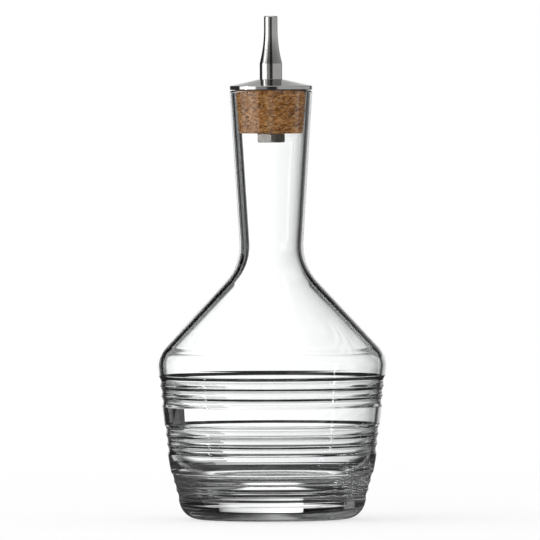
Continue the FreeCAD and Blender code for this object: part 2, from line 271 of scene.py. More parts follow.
# %% [markdown]
# ### Wheel cuts
# The rings were cut with a round-edged wheel, three groups of three, and polished. Such a wheel
# leaves a shallow circular hollow. Where two hollows meet they leave a ridge, which polishing
# rounds a little. Boolean cuts and a bevel could make them, but a soft minimum of the plain wall
# and all the wheel circles does both at once, and the ridges stay crisp but rounded.

# %% Cut the rings
WHEEL = 3.0
RIDGE_DROP, RIDGE_SOFTNESS = 0.05, 0.03
RINGS_IN_GROUP = 3
RING_GROUPS = [  # top of the group, height of one ring, upper and lower corner of the wall
    (42.1, 2.93, SHOULDER, BELLY),
    (27.9, 2.86, SHOULDER, BELLY),
    (13.7, 2.62, BELLY, (HEEL_RADIUS, 0.0)),
]


def wheel_centres():
    """Centre of the wheel's edge for each ring, square out from the wall.

    It stands out by sqrt(wheel^2 - half ring^2), where the ridges meet the wall, less their drop.
    """
    centres = []
    for top, pitch, high, low in RING_GROUPS:
        tilt = math.atan(lean(high, low))
        height = top - pitch * (np.arange(RINGS_IN_GROUP) + 0.5)
        wall = high[0] - (high[1] - height) * math.tan(tilt)
        reach = math.sqrt(WHEEL ** 2 - (0.5 * pitch / math.cos(tilt)) ** 2) - RIDGE_DROP
        out, down = reach * math.cos(tilt), reach * math.sin(tilt)
        centres.append(np.stack([wall + out, height - down], axis=-1))
    return np.concatenate(centres)


def cut_rings(chain, centres):
    """Draws the wall in to the wheel circles: r = softmin(wall, circle 1, circle 2, ...)."""
    radius, height = chain[:, 0], chain[:, 1]
    below = WHEEL ** 2 - (height[:, None] - centres[:, 1]) ** 2
    circle = np.where(below > 0, centres[:, 0] - np.sqrt(np.maximum(below, 0.0)), np.inf)
    depths = (np.column_stack([radius, circle]) - radius[:, None]) / RIDGE_SOFTNESS
    deepest = depths.min(axis=1)
    soft = deepest - np.log(np.exp(deepest[:, None] - depths).sum(axis=1))
    cut = chain.copy()
    cut[:, 0] += RIDGE_SOFTNESS * soft
    return cut


lip_row = int(np.argmax(outline[:, 1]))
outer_wall = np.arange(len(outline)) < lip_row
outline[outer_wall] = cut_rings(outline[outer_wall], wheel_centres())
GLASS_SIDES = 180
bottle = new_piece(
    "bottle_glass", *turned(outline, GLASS_SIDES), "bottle", "clear_glass", "glass_bottle")

# %% [markdown]
# ## The cap plate
# Cap plate and spout are turned on a lathe and polished. Every edge has a small rounding, as a real
# edge does, which gives the thin bright line that the eye expects there. A Bevel modifier would
# round all edges alike. In the outline each edge has a rounding of its own, from the soft end of
# the tip to the crisp foot of the collar.

# %% Cap plate
cap_low, cap_high = in_mm(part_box("cap_plate"))
spout_low, spout_high = in_mm(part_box("pour_spout"))
CAP_RADIUS = cap_high[0]
CAP_RIM, CAP_LAND = 1.2, 0.45
SHANK_RADIUS, SHANK_GAP = 2.5, 0.05
SHANK_HOLE = SHANK_RADIUS + SHANK_GAP
COLLAR_RADIUS = spout_high[0]
METAL_SIDES = 128
STEEL = "polished_steel"


def loop_outline(corners):
    """A closed outline. It starts in the middle of its last run, so every corner gets its arc."""
    first_radius, first_height, *_ = corners[0]
    last_radius, last_height, _, spacing = corners[-1]
    middle = (0.5 * (first_radius + last_radius), 0.5 * (first_height + last_height), 0.0, spacing)
    return rounded_outline([middle, *corners, middle])[:-1]


cap_outline = loop_outline([  # radius, height, rounding, spacing
    (SHANK_HOLE, cap_low[2], 0.1, 1.0),
    (CAP_RADIUS, cap_low[2], 0.25, 0.3),
    (CAP_RADIUS, cap_low[2] + CAP_RIM, 0.22, 0.5),
    (COLLAR_RADIUS + CAP_LAND, cap_high[2], 0.6, 0.5),
    (SHANK_HOLE, cap_high[2], 0.1, 0.6),
])
cap = new_piece(
    "cap_plate_polished", *turned(cap_outline, METAL_SIDES), "stopper", STEEL, "cap_plate")

# %% [markdown]
# ## The spout
# The spout is one hollow turning: a shank that runs down through cap and cork, a collar, a flare
# and a slender tip, whose narrow hole lets out a dash at a time. A Boolean could drill the hole.
# Here the bore is part of the same closed outline, so that its edges are rounded as the others are.

# %% Pour spout
COLLAR_LENGTH, FLARE_LENGTH, FLARE_ROUND = 4.7, 5.6, 40.0
COLLAR_TOP = cap_high[2] + COLLAR_LENGTH
FLARE_CORNER = COLLAR_TOP + FLARE_LENGTH
TIP_RADIUS, DASH_BORE, SPOUT_BORE = 2.0, 1.0, 1.5
DASH_LENGTH, DASH_TAPER = 6.0, 1.2
spout_outline = loop_outline([  # radius, height, rounding, spacing
    (SPOUT_BORE, spout_low[2], 0.15, 0.5),
    (SHANK_RADIUS, spout_low[2], 0.3, 3.0),
    (SHANK_RADIUS, cap_high[2], 0.08, 0.4),
    (COLLAR_RADIUS, cap_high[2], 0.12, 0.8),
    (COLLAR_RADIUS, COLLAR_TOP, 0.25, 0.3),
    (TIP_RADIUS, FLARE_CORNER, FLARE_ROUND, 0.4),
    (TIP_RADIUS, spout_high[2], 0.45, 0.3),
    (DASH_BORE, spout_high[2], 0.2, 1.0),
    (DASH_BORE, spout_high[2] - DASH_LENGTH, 0.3, 0.5),
    (SPOUT_BORE, spout_high[2] - DASH_LENGTH - DASH_TAPER, 0.3, 3.0),
])
spout = new_piece(
    "pour_spout_polished", *turned(spout_outline, METAL_SIDES), "stopper", STEEL, "pour_spout")

# %% [markdown]
# ## The nut
# A thin hexagon nut is a slice of hexagon bar whose corners a cone has chamfered on both faces. A
# six-sided cylinder with a Bevel would have straight chamfers. In polar form the hexagon's radius
# is its half width divided by the cosine of the angle from the middle of a flat. The cone lowers
# the side's edge where a corner reaches past the flat ring, which gives the scalloped edge of a
# real nut.

# %% Nut as a polar grid
nut_low, nut_high = in_mm(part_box("hex_nut"))
NUT_HALF_WIDTH = nut_high[0]
NUT_SIDE_INSET = 0.02  # keeps the flats just inside the frame's
NUT_FACE_LAND = 0.2  # the flat ring of each face ends this far inside the flats
NUT_FACE = NUT_HALF_WIDTH - NUT_FACE_LAND
NUT_SIDES = 144
CHAMFER = math.tan(math.radians(30.0))
HOLE_CHAMFER = 0.35
SHARP_EDGE = math.radians(12.0)


def hexagon_nut():
    """Rings of (r, z) by angle a, from the hole's lower edge round the outside to its upper edge.

    The side is r = half width / cos(a from the middle of a flat), and the cone lowers its edge by
    (r - face) * tan(30 degrees).
    """
    a = np.linspace(-0.5 * math.pi, 1.5 * math.pi, NUT_SIDES, endpoint=False)
    from_flat = (a + 0.5 * math.pi) % (math.pi / 3.0) - math.pi / 6.0
    side = NUT_HALF_WIDTH / np.cos(from_flat) - NUT_SIDE_INSET
    drop = np.maximum(side - NUT_FACE, 0.0) * CHAMFER
    low, high = nut_low[2], nut_high[2]
    hole_rim = SHANK_HOLE + HOLE_CHAMFER
    lower = [(SHANK_HOLE, low + HOLE_CHAMFER), (hole_rim, low), (NUT_FACE, low), (side, low + drop)]
    upper = [
        (side, high - drop), (NUT_FACE, high), (hole_rim, high), (SHANK_HOLE, high - HOLE_CHAMFER)]
    rings = [
        np.stack([r * np.cos(a), r * np.sin(a), z + 0.0 * a], axis=-1) for r, z in lower + upper]
    return np.concatenate(rings) * MM, ring_faces(len(rings), NUT_SIDES, closed=True)


nut = new_piece("hex_nut_chamfered", *hexagon_nut(), "stopper", "nut_steel", "hex_nut")
nut.data.set_sharp_from_angle(angle=SHARP_EDGE)
print("nut across flats", 2 * NUT_HALF_WIDTH, "mm")

# %% [markdown]
# ## The cork
# The bung is ground from natural cork to a taper that closes the mouth. A cone from the Add menu
# has the taper but no soft edges and no hole for the shank, so the bung is turned as the metal is.

# %% Cork taper
cork_low, cork_high = in_mm(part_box("cork_bung"))
CORK_TOP_RADIUS = cork_high[0]
CORK_FOOT_GAP = 0.45
CORK_FOOT_RADIUS = mouth_bore - (LIP - cork_low[2]) * neck_lean - CORK_FOOT_GAP
cork_outline = loop_outline([  # radius, height, rounding, spacing
    (SHANK_HOLE, cork_low[2], 0.2, 0.5),
    (CORK_FOOT_RADIUS, cork_low[2], 0.5, 0.16),
    (CORK_TOP_RADIUS, cork_high[2], 0.15, 0.5),
    (SHANK_HOLE, cork_high[2], 0.1, 3.0),
])
print("cork from", round(2 * CORK_TOP_RADIUS, 2), "to", round(2 * CORK_FOOT_RADIUS, 2), "mm across")

# %% [markdown]
# ### Pores
# Cork is full of open pores. A bump in the material could draw them. They are real dents here,
# small ellipses taken out of the side at seeded random places, so that they also show in the
# outline and catch shadow.

# %% Cork pores
CORK_SIDES = 256
PORES, PORE_SEED = 130, 7
PORE_WIDTH, PORE_HEIGHT, PORE_DEPTH = (0.18, 0.7), (0.12, 0.4), (0.05, 0.3)  # from, to
PORE_MARGIN, PORE_FADE = 0.8, 0.6  # start inside the foot's radius, and the run to full depth


def pore_depth(angle, height, random):
    """Sum of dents at random places, each depth * exp(-(across / width)^2 - (up / height)^2)."""
    place = random.uniform(0.0, 2.0 * math.pi, PORES)
    level = random.uniform(cork_low[2], cork_high[2], PORES)
    width = random.uniform(*PORE_WIDTH, PORES)
    tall = random.uniform(*PORE_HEIGHT, PORES)
    depth = random.uniform(*PORE_DEPTH, PORES)
    across = (angle[..., None] - place + math.pi) % (2.0 * math.pi) - math.pi
    across = across * CORK_FOOT_RADIUS / width
    up = (height[..., None] - level) / tall
    return (depth * np.exp(-across ** 2 - up ** 2)).sum(axis=-1)


def cork_surface():
    """The turned cork with its side drawn in by the pores: r becomes r - depth."""
    verts, faces = turned(cork_outline, CORK_SIDES)
    random = np.random.default_rng(PORE_SEED)
    radius = np.hypot(verts[:, 0], verts[:, 1]) / MM
    angle = np.arctan2(verts[:, 1], verts[:, 0])
    height = verts[:, 2] / MM
    outside = np.clip((radius - CORK_FOOT_RADIUS + PORE_MARGIN) / PORE_FADE, 0.0, 1.0)
    depth = pore_depth(angle, height, random) * outside
    verts[:, :2] *= ((radius - depth) / radius)[:, None]
    return verts, faces, depth


cork_verts, cork_faces, cork_depth = cork_surface()
cork = new_piece("cork_bung_ground", cork_verts, cork_faces, "stopper", "natural_cork", "cork_bung")
stored = cork.data.attributes.new("pore", "FLOAT", "POINT")
stored.data.foreach_set("value", cork_depth.astype(np.float32))
print("deepest pore", round(float(cork_depth.max()), 2), "mm")


# %% [markdown]
# ## Materials
# Each finish starts from what the real material is and from how its surface was made. Colours are
# sRGB hex values, as a painter would pick them, turned to the linear values that the renderer works
# in. The scale of each pattern could be tried out by eye, but here it follows from a real size.

# %% Colours and scales
def linear(hex_colour):
    """sRGB hex to linear RGBA, by the standard piecewise curve."""
    srgb = np.array([int(hex_colour[i:i + 2], 16) for i in (1, 3, 5)]) / 255.0
    flat = np.where(srgb <= 0.04045, srgb / 12.92, ((srgb + 0.055) / 1.055) ** 2.4)
    return (*flat.tolist(), 1.0)


def per_metre(size_mm):
    """A texture scale from the real size of its grain: grains per metre of object space."""
    return 1.0 / (size_mm * MM)


print("white in linear values", linear("#FFFFFF"))


# %% [markdown]
# A material is a small graph of nodes, which could be wired by hand in the shader editor. One
# helper adds a node with its settings, links and ramp stops, so that each line below reads as one
# step of a recipe.

# %% Nodes and materials
def node(tree, kind, inputs=None, stops=(), **settings):
    """Adds a node with its settings, fills its inputs with values or links, and gives its outputs.

    A ramp's stops are (position, colour) pairs in rising order. A new ramp has two stops already.
    """
    new = tree.nodes.new(kind)
    for name, value in settings.items():
        setattr(new, name, value)
    for name, value in (inputs or {}).items():
        if isinstance(value, bpy.types.NodeSocket):
            tree.links.new(value, new.inputs[name])
        else:
            new.inputs[name].default_value = value
    for number, (position, colour) in enumerate(stops):
        elements = new.color_ramp.elements
        element = elements[number] if number < 2 else elements.new(position)
        element.position, element.color = position, colour
    return new.outputs


def new_material(name, *pieces):
    """A material without nodes, put on the pieces; gives back its node tree."""
    material = bpy.data.materials.new(name)
    material.use_nodes = True
    material.node_tree.nodes.clear()
    for piece in pieces:
        piece.data.materials.clear()
        piece.data.materials.append(material)
    return material.node_tree


print("materials before the first recipe", len(bpy.data.materials))

# %% [markdown]
# ### Clear glass
# Soda-lime glass that was pressed in a mould and fire polished is smooth but never perfectly even:
# the skin keeps a faint slow wave from cooling. Perfect glass would take one node. A noise with
# waves of several millimetres tilts the surface very slightly here, so that the lines seen through
# the wall lose their computer-straight look.

# %% Soda-lime glass, pressed and fire polished
GLASS_WAVE, GLASS_WAVE_HEIGHT = 11.0, 0.006
tree = new_material("soda_lime_glass_fire_polished", bottle)
place = node(tree, "ShaderNodeTexCoord")["Object"]
wave = node(tree, "ShaderNodeTexNoise", {
    "Vector": place, "Scale": per_metre(GLASS_WAVE), "Detail": 1.0})["Fac"]
wavy = node(tree, "ShaderNodeBump", {
    "Height": wave, "Strength": 1.0, "Distance": GLASS_WAVE_HEIGHT * MM})["Normal"]
glass_shader = node(tree, "ShaderNodeBsdfPrincipled", {
    "Base Color": linear("#FCFDFD"), "Roughness": 0.0, "IOR": 1.5, "Transmission Weight": 1.0,
    "Normal": wavy})
node(tree, "ShaderNodeOutputMaterial", {"Surface": glass_shader["BSDF"]})
print("glass wave", GLASS_WAVE, "mm")

# %% [markdown]
# ### Polished steel
# The cap and spout were turned on a lathe, so the tool left fine rings round the axis, and
# polishing wore them down without removing them all. A plain glossy metal would look like a mirror
# ball. The bands of a wave texture on Object coordinates lie across Z and follow the turning.
# Handling adds soft smears, which change the roughness and, a little, the tone.

# %% Stainless steel, turned and polished
TURNING_PITCH = 0.55  # real tool marks, 0.1 mm apart, are too fine to show and are drawn coarser
TURNING_HEIGHT = 0.0012
WAVE_BAND = math.pi / 10.0  # a wave texture of scale 1 has a band in every length of this
SMEAR = 3.0
NOISE_LOW, NOISE_HIGH = 0.3, 0.7  # most of a noise lies between these
BRIGHT_POLISH, WORN_POLISH = 0.07, 0.15
tree = new_material("stainless_steel_turned_and_polished", cap, spout)
place = node(tree, "ShaderNodeTexCoord")["Object"]
marks = node(tree, "ShaderNodeTexWave", {
    "Vector": place, "Scale": per_metre(TURNING_PITCH) * WAVE_BAND,
    "Distortion": 1.5, "Detail": 2.0}, wave_type="BANDS", bands_direction="Z")["Fac"]
turning = node(tree, "ShaderNodeBump", {
    "Height": marks, "Strength": 1.0, "Distance": TURNING_HEIGHT * MM})["Normal"]
smears = node(tree, "ShaderNodeTexNoise", {
    "Vector": place, "Scale": per_metre(SMEAR), "Detail": 4.0})["Fac"]
polish = node(tree, "ShaderNodeMapRange", {
    "Value": smears, "From Min": NOISE_LOW, "From Max": NOISE_HIGH,
    "To Min": BRIGHT_POLISH, "To Max": WORN_POLISH})[0]
tone = node(tree, "ShaderNodeValToRGB", {"Fac": smears}, [
    (NOISE_LOW, linear("#D2D1CF")), (NOISE_HIGH, linear("#DEDDDB"))])
steel_shader = node(tree, "ShaderNodeBsdfPrincipled", {
    "Base Color": tone["Color"], "Metallic": 1.0, "Roughness": polish, "Normal": turning})
node(tree, "ShaderNodeOutputMaterial", {"Surface": steel_shader["BSDF"]})
print("turning marks", TURNING_PITCH, "mm apart")

# %% [markdown]
# ### Nut steel
# A small nut is cut from drawn bar and left as it comes: duller than the polished pieces, with fine
# scratches along the bar, which stand upright here. An image of scratches could be wrapped round
# it, but a noise that is stretched along Z draws them at any distance and needs no file.

# %% Steel bar, drawn and cut
SCRATCH_WIDTH, SCRATCH_LENGTH = 0.25, 2.5
BRIGHT_BAR, DULL_BAR = 0.3, 0.45
tree = new_material("steel_bar_drawn_and_cut", nut)
place = node(tree, "ShaderNodeTexCoord")["Object"]
stretched = node(tree, "ShaderNodeMapping", {
    "Vector": place, "Scale": (1.0, 1.0, SCRATCH_WIDTH / SCRATCH_LENGTH)})[0]
scratches = node(tree, "ShaderNodeTexNoise", {
    "Vector": stretched, "Scale": per_metre(SCRATCH_WIDTH), "Detail": 2.0})["Fac"]
tone = node(tree, "ShaderNodeValToRGB", {"Fac": scratches}, [
    (NOISE_LOW, linear("#A9A5A0")), (NOISE_HIGH, linear("#CBC7C2"))])
dull = node(tree, "ShaderNodeMapRange", {
    "Value": scratches, "From Min": NOISE_LOW, "From Max": NOISE_HIGH,
    "To Min": BRIGHT_BAR, "To Max": DULL_BAR})[0]
nut_shader = node(tree, "ShaderNodeBsdfPrincipled", {
    "Base Color": tone["Color"], "Metallic": 1.0, "Roughness": dull})
node(tree, "ShaderNodeOutputMaterial", {"Surface": nut_shader["BSDF"]})
print("nut scratches", SCRATCH_WIDTH, "mm wide")

# %% [markdown]
# ### Cork
# Cork is bark, cut and ground to a taper. Up close it shows warm grains of about a millimetre,
# finer flecks, thin wavy cracks along its growth rings and the dark insides of its pores. Layered
# noises give grains and flecks. A Voronoi texture could draw cracks, but as straight cell walls. A
# crack here is a contour line: a thin band where one more noise passes its middle value, wider in
# some patches than in others. Squeezing the height of these noises makes them run sideways, as the
# growth rings do.

# %% Natural cork, ground: grains and cracks
CORK_GRAIN, CORK_FLECK = 1.3, 0.45
CRACK, CRACK_PATCH = 2.3, 1.8
FLATTEN = (1.0, 1.0, 2.2)
NOISE_MIDDLE = 0.5
PATCH_LOW, PATCH_HIGH = 0.4, 0.56  # patch values between which cracks grow from thin to wide
THIN_CRACK, WIDE_CRACK = 0.006, 0.05  # to each side of the middle value
CRACK_DARKNESS = 0.9
tree = new_material("natural_cork_ground", cork)
place = node(tree, "ShaderNodeTexCoord")["Object"]
flat = node(tree, "ShaderNodeVectorMath", {0: place, 1: FLATTEN}, operation="MULTIPLY")[0]
grains = node(tree, "ShaderNodeTexNoise", {
    "Vector": flat, "Scale": per_metre(CORK_GRAIN), "Detail": 3.0})["Fac"]
flecks = node(tree, "ShaderNodeTexNoise", {
    "Vector": flat, "Scale": per_metre(CORK_FLECK), "Detail": 2.0})["Fac"]
winding = node(tree, "ShaderNodeTexNoise", {
    "Vector": flat, "Scale": per_metre(CRACK),
    "Detail": 2.5, "Roughness": 0.55, "Distortion": 0.6})["Fac"]
patches = node(tree, "ShaderNodeTexNoise", {
    "Vector": place, "Scale": per_metre(CRACK_PATCH), "Detail": 1.0})["Fac"]
crack_width = node(tree, "ShaderNodeMapRange", {
    "Value": patches, "From Min": PATCH_LOW, "From Max": PATCH_HIGH,
    "To Min": THIN_CRACK, "To Max": WIDE_CRACK})[0]
off_line = node(tree, "ShaderNodeMath", {0: winding, 1: NOISE_MIDDLE}, operation="SUBTRACT")[0]
from_line = node(tree, "ShaderNodeMath", {0: off_line}, operation="ABSOLUTE")[0]
# A crack is drawn as a dark line, which is painted shade in the crack.
crack = node(tree, "ShaderNodeMapRange", {
    "Value": from_line, "From Min": 0.0, "From Max": crack_width,
    "To Min": CRACK_DARKNESS, "To Max": 0.0})[0]
print("cork grains", CORK_GRAIN, "mm, flecks", CORK_FLECK, "mm, crack waves", CRACK, "mm")

# %% [markdown]
# The pores read the depth that the mesh stored, so the painted shade and the dent agree, which a
# second random pattern could not do. Cracks and pores are painted dark, as painted shade, because
# light hardly comes out of them again, and the same values lower the surface a little, which makes
# it look dry and rough.

# %% Natural cork, ground: colour and surface
CORK_RELIEF = 0.12
FLECK_PART = 0.35
# the painted shade in a pore starts at the first depth and is full at the second
PORE_SHADE_FROM, PORE_SHADE_FULL = 0.08, 0.26  # depths in mm
mixed = node(tree, "ShaderNodeMix", {
    "Factor": FLECK_PART, 2: grains, 3: flecks}, data_type="FLOAT")[0]
cork_tone = node(tree, "ShaderNodeValToRGB", {"Fac": mixed}, [
    (0.36, linear("#9A5C24")), (0.46, linear("#C98646")),
    (0.54, linear("#E0A262")), (0.64, linear("#F5C68C"))])
depth_here = node(tree, "ShaderNodeAttribute", attribute_name="pore")["Fac"]
# The pore's depth gives its painted shade, from none to full.
pore = node(tree, "ShaderNodeMapRange", {
    "Value": depth_here, "From Min": PORE_SHADE_FROM, "From Max": PORE_SHADE_FULL})[0]
crack_and_pore_shade = node(tree, "ShaderNodeMath", {0: crack, 1: pore}, operation="MAXIMUM")[0]
# Cracks and pores are mixed towards dark brown as painted shade; the same mask also lowers the
# surface.
cork_colour = node(tree, "ShaderNodeMix", {
    "Factor": crack_and_pore_shade, 6: cork_tone["Color"], 7: linear("#4A230A")}, data_type="RGBA")[2]
relief = node(tree, "ShaderNodeMath", {0: flecks, 1: crack_and_pore_shade}, operation="SUBTRACT")[0]
rough = node(tree, "ShaderNodeBump", {
    "Height": relief, "Strength": 1.0, "Distance": CORK_RELIEF * MM})["Normal"]
cork_shader = node(tree, "ShaderNodeBsdfPrincipled", {
    "Base Color": cork_colour, "Roughness": 0.88, "Specular IOR Level": 0.25, "Normal": rough})
node(tree, "ShaderNodeOutputMaterial", {"Surface": cork_shader["BSDF"]})
print("cork relief", CORK_RELIEF, "mm,", len(tree.nodes), "nodes")

# %% [markdown]
# ## Studio
# Clear glass has no colour of its own: its drawing is the room seen through it. Photographers light
# it in a bright field, with a white backdrop behind the bottle and black to both sides of it. A ray
# through the middle goes on to the backdrop and stays white. A ray through an edge or a wheel cut
# is bent aside, meets black, and draws the dark line. The lists below give brightness by angle in
# degrees. Turn 0 is straight behind the bottle, and -90 is to its left. Rise 0 is level, and 90 is
# straight up.

# %% Brightness by angle
HALF_TURN, QUARTER_TURN = 180, 90
BACKDROP = [  # turn, brightness
    (-14.5, 0.01), (-11.5, 1.6), (-5, 1.5), (0, 1.25), (5, 1.0), (9, 0.85), (13, 0.75), (18, 0.6),
    (23, 0.45), (25, 0.02)]
SIDE_OPENINGS = [  # turn, brightness
    (-180, 0.9), (-172, 0.9), (-168, 0.01), (-142, 0.01), (-138, 1.5), (-106, 1.5), (-102, 0.01),
    (-97, 0.9), (-83, 0.9), (-80, 0.01), (-52, 0.02), (-48, 0.25), (-43, 0.25), (-39, 0.02),
    (80, 0.01), (83, 0.9), (97, 0.9), (100, 0.01), (168, 0.01), (172, 0.9), (180, 0.9)]
BACKDROP_TOP = [(-90, 1), (4.6, 1), (6, 0.02), (24, 0.02), (34, 0.4), (90, 0.4)]  # rise, brightness


def grey(level):
    """The RGBA colour of a brightness."""
    return (level, level, level, 1.0)


def by_angle(tree, angle, stops, limit=HALF_TURN):
    """Brightness for an angle in radians, from (degrees, brightness) stops from -limit to limit."""
    end = math.radians(limit)
    part = node(tree, "ShaderNodeMapRange", {"Value": angle, "From Min": -end, "From Max": end})[0]
    places = [((degrees + limit) / (2 * limit), grey(level)) for degrees, level in sorted(stops)]
    return node(tree, "ShaderNodeValToRGB", {"Fac": part}, places)[0]


print("backdrop from", BACKDROP[0][0], "to", BACKDROP[-1][0], "degrees")

# %% [markdown]
# ### The room that glass shows
# The world gives every direction a brightness. Turn and rise come from the direction by arc tangent
# and arc sine, and a ramp for each is read and multiplied. Real cards and lamps or an image of a
# studio could do this, but with ramps every edge is an angle that is easy to move.

# %% World: the room seen through glass
world = bpy.data.worlds.new("studio")
bpy.context.scene.world = world
world.use_nodes = True
tree = world.node_tree
tree.nodes.clear()
ray = node(tree, "ShaderNodeTexCoord")["Generated"]
direction = node(tree, "ShaderNodeSeparateXYZ", {"Vector": ray})
turn = node(tree, "ShaderNodeMath", {0: direction["X"], 1: direction["Y"]}, operation="ARCTAN2")[0]
rise = node(tree, "ShaderNodeMath", {0: direction["Z"]}, operation="ARCSINE")[0]
through = node(tree, "ShaderNodeMath", {
    0: by_angle(tree, turn, BACKDROP + SIDE_OPENINGS),
    1: by_angle(tree, rise, BACKDROP_TOP, QUARTER_TURN)}, operation="MULTIPLY")[0]
print("room behind the glass:", len(tree.nodes), "nodes")

# %% [markdown]
# Seen from above, a ray through the bottle runs down to the floor instead. Two sectors of floor are
# lit for such views, each across from where a viewer would stand. The rest stays dark, so that the
# level view keeps its black.

# %% World: the lit floor
LIT_FLOORS = [  # first and last turn, start and end in metres
    (-64, -30, 0.036, 0.25), (114, 158, 0.026, 0.58)]
FLOOR_RISE = [(-90, 0.9), (-14, 0.9), (-9, 0), (90, 0)]  # rise, brightness
SECTOR_EDGE, SECTOR_REST = 6, 0.02  # degrees of each soft edge, brightness outside it


def sector(first, last):
    """Stops that are bright from the first to the last turn, with soft edges."""
    return [(-HALF_TURN, SECTOR_REST), (first - SECTOR_EDGE, SECTOR_REST), (first, 1), (last, 1),
            (last + SECTOR_EDGE, SECTOR_REST), (HALF_TURN, SECTOR_REST)]


floor_part = by_angle(tree, rise, FLOOR_RISE, QUARTER_TURN)
for first, last, *_ in LIT_FLOORS:
    lit = node(tree, "ShaderNodeMath", {
        0: floor_part, 1: by_angle(tree, turn, sector(first, last))}, operation="MULTIPLY")[0]
    through = node(tree, "ShaderNodeMath", {0: through, 1: lit}, operation="MAXIMUM")[0]
print("lit floor sectors", len(LIT_FLOORS))

# %% [markdown]
# ### The room that metal shows
# Polished metal mirrors another part of the room: a large softbox on the left, a smaller light
# behind, grey walls on the right and a pale ceiling. The edges between them are what makes a turned
# spout look round. Area lamps could stand there, but they would light the cork and the table too.

# %% World: the room mirrored in metal
WALLS = [  # turn, brightness
    (-180, 0.02), (-171, 0.02), (-166, 0.25), (-138, 0.3), (-134, 1.6), (-84, 1.6), (-80, 0.03),
    (-20, 0.03), (-12, 0.9), (5, 0.9), (18, 0.46), (26, 0.1), (36, 0.1), (44, 0.45), (158, 0.45),
    (166, 0.03), (180, 0.02)]
WALLS_UP = [  # rise, brightness
    (-90, 0.05), (-9, 0.05), (-4, 0.9), (0, 1.0), (6, 1.0), (14, 0.6), (26, 0.4), (60, 0.5),
    (90, 0.9)]
CEILING = [(-90, 0), (32, 0), (45, 0.5), (90, 0.9)]  # rise, brightness
walls = node(tree, "ShaderNodeMath", {
    0: by_angle(tree, turn, WALLS), 1: by_angle(tree, rise, WALLS_UP, QUARTER_TURN)},
    operation="MULTIPLY")[0]
mirrored = node(tree, "ShaderNodeMath", {
    0: walls, 1: by_angle(tree, rise, CEILING, QUARTER_TURN)}, operation="MAXIMUM")[0]
print("room in the metal:", len(WALLS), "stops round,", len(WALLS_UP), "up")

# %% [markdown]
# ### Which ray sees which room
# The Light Path node tells what a ray has met, so one world can be several rooms. The camera itself
# sees plain white, matt surfaces get soft light that is a little stronger from the left, mirrored
# rays see the softboxes, and rays out of the glass the backdrop. A ray that has left a matt surface
# sees only soft light.

# %% World: which ray sees which room
LIT_FROM_LEFT = 0.3
NO_MATT_BOUNCE = 0.5  # a diffuse depth under this is none


def ray_kinds(tree):
    """The Light Path outputs, and one value that is 1 for rays from mirrors or out of glass."""
    path = node(tree, "ShaderNodeLightPath")
    return path, node(tree, "ShaderNodeMath", {
        0: path["Is Glossy Ray"], 1: path["Is Transmission Ray"]}, operation="MAXIMUM")[0]


path, shiny = ray_kinds(tree)
soft = node(tree, "ShaderNodeMath", {
    0: direction["X"], 1: -LIT_FROM_LEFT, 2: 1.0}, operation="MULTIPLY_ADD")[0]
plain = node(tree, "ShaderNodeMix", {
    "Factor": path["Is Camera Ray"], 2: soft, 3: 1.0}, data_type="FLOAT")[0]
staged = node(tree, "ShaderNodeMix", {
    "Factor": path["Is Transmission Ray"], 2: mirrored, 3: through}, data_type="FLOAT")[0]
not_matt = node(tree, "ShaderNodeMath", {
    0: path["Diffuse Depth"], 1: NO_MATT_BOUNCE}, operation="LESS_THAN")[0]
shiny_only = node(tree, "ShaderNodeMath", {0: shiny, 1: not_matt}, operation="MULTIPLY")[0]
seen = node(tree, "ShaderNodeMix", {
    "Factor": shiny_only, 2: plain, 3: staged}, data_type="FLOAT")[0]
background = node(tree, "ShaderNodeBackground", {"Color": seen})[0]
node(tree, "ShaderNodeOutputWorld", {"Surface": background})
print("world nodes", len(tree.nodes))

# %% [markdown]
# ### Table
# The bottle stands on a white table. A plane with a far edge would draw a horizon, so the table is
# a disc that fades out. It gives the camera most of its white by itself and keeps the bottle's soft
# shadow.

# %% Table: mesh and what the camera sees
TABLE_RADIUS, TABLE_LEVEL = 0.6, -0.0002
TABLE_SIDES = 96
TABLE_GLOW = 0.6


def stage_piece(name, verts, faces):
    """A mesh that is part of the studio, not of the object."""
    mesh = bpy.data.meshes.new(name)
    mesh.from_pydata(verts.tolist(), [], faces)
    piece = bpy.data.objects.new(name, mesh)
    bpy.context.scene.collection.objects.link(piece)
    return piece


rim = np.linspace(0.0, 2.0 * math.pi, TABLE_SIDES, endpoint=False)
rim_points = np.stack([
    TABLE_RADIUS * np.cos(rim), TABLE_RADIUS * np.sin(rim),
    np.full(TABLE_SIDES, TABLE_LEVEL)], axis=-1)
table = stage_piece("studio_table", rim_points, [list(range(TABLE_SIDES))])
tree = new_material("white_table_matt", table)
path, shiny = ray_kinds(tree)
matt = node(tree, "ShaderNodeBsdfDiffuse", {"Color": linear("#FAFAFA")})[0]
glow = node(tree, "ShaderNodeEmission", {"Color": linear("#FFFFFF"), "Strength": 1.0})[0]
glow_part = node(tree, "ShaderNodeMath", {
    0: path["Is Diffuse Ray"], 1: -TABLE_GLOW, 2: TABLE_GLOW}, operation="MULTIPLY_ADD")[0]
table_top = node(tree, "ShaderNodeMixShader", {"Fac": glow_part, 1: matt, 2: glow})[0]
print("table", 2 * TABLE_RADIUS, "m across")

# %% [markdown]
# Through the glass the table shows a bright sheet that runs back from behind the bottle, which is
# the white window in the base, and black to both sides. Close to the foot only a narrow ring is
# bright: the bowl-shaped floor draws it as pale arcs above the window. Sheets of paper could lie
# there, but the camera would see them too.

# %% Table: what glass sees
SHEET = [  # turn, brightness
    (-180, 0.01), (-16, 0.01), (-12, 1.3), (0, 1.1), (12, 0.85), (16, 0.01), (180, 0.01)]
SHEET_APEX = 0.045  # turns on the table are counted from this far in front of the bottle's axis
SHEET_START = [(0.0, 0.02), (0.03, 0.05), (0.058, 0.05), (0.061, 1.0)]  # metres, brightness
FOOT_RING = [  # metres, brightness
    (0.0, 0.02), (0.019, 0.02), (0.0205, 1.3), (0.026, 1.3), (0.0275, 0.0)]
FOOT_RING_TURN = 20


